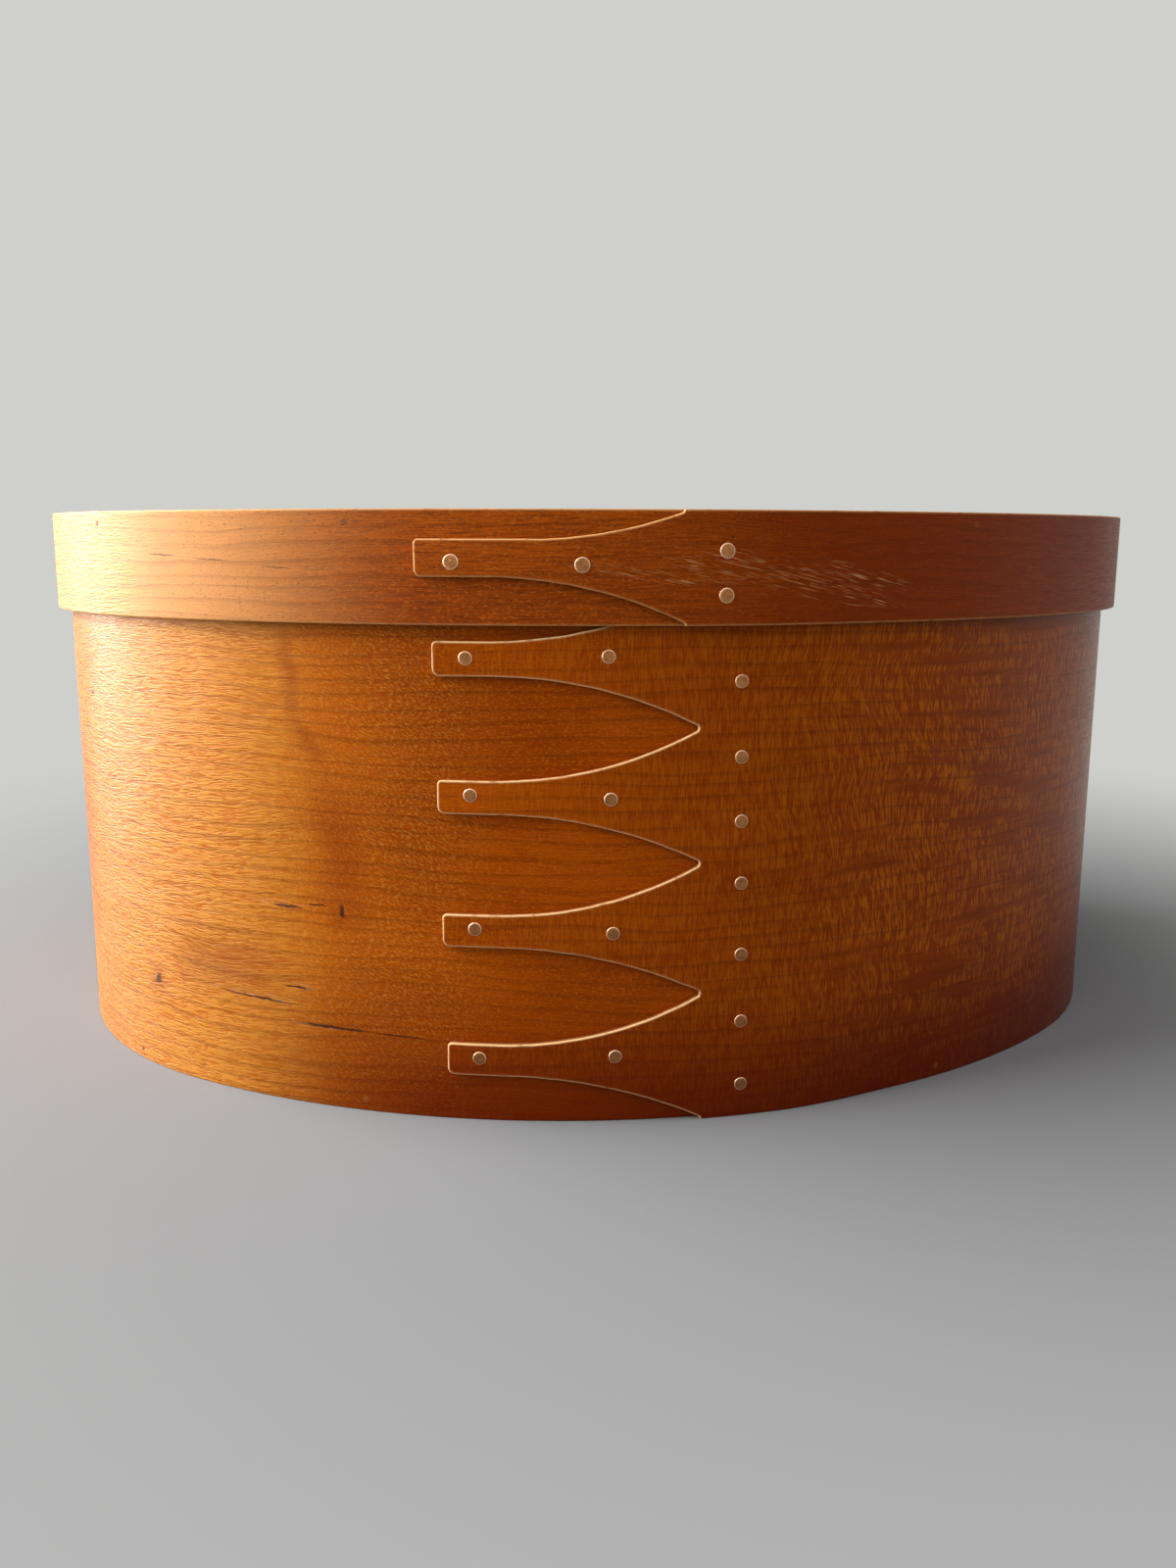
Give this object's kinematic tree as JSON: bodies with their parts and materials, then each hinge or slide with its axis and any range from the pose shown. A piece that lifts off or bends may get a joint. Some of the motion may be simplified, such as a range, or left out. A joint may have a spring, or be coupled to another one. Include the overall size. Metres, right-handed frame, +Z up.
{
  "type": "shaker oval box",
  "caption": "Oval bentwood box with a lift-off lid, lapped at the front with swallowtail fingers held by copper tacks.",
  "frame": {"origin": "on the table, under the middle of the oval", "axes": "+X along the oval's length, -Y towards the laps with the fingers, +Z up"},
  "size_m": [0.3372, 0.2659, 0.153],
  "materials": {
    "cherry_band": "oiled satin",
    "cherry_rim": "oiled satin",
    "cherry_board": "oiled satin",
    "copper_tack": "dull hammered copper",
    "wooden_peg": "sanded flush"
  },
  "bodies": {
    "box": {"box_band": "cherry_band", "bottom_board": "cherry_board", "finger_1_tacks": "copper_tack", "finger_2_tacks": "copper_tack", "finger_3_tacks": "copper_tack", "finger_4_tacks": "copper_tack", "seam_tacks": "copper_tack", "bottom_pegs": "wooden_peg"},
    "lid": {"lid_band": "cherry_rim", "lid_board": "cherry_board", "lid_finger_tacks": "copper_tack", "lid_seam_tacks": "copper_tack", "lid_pegs": "wooden_peg"}
  },
  "joints": [
    {"name": "lid_lift", "type": "slide", "parent": "box", "child": "lid", "axis": [0, 0, 1], "range_m": [0, 0.2]}
  ]
}
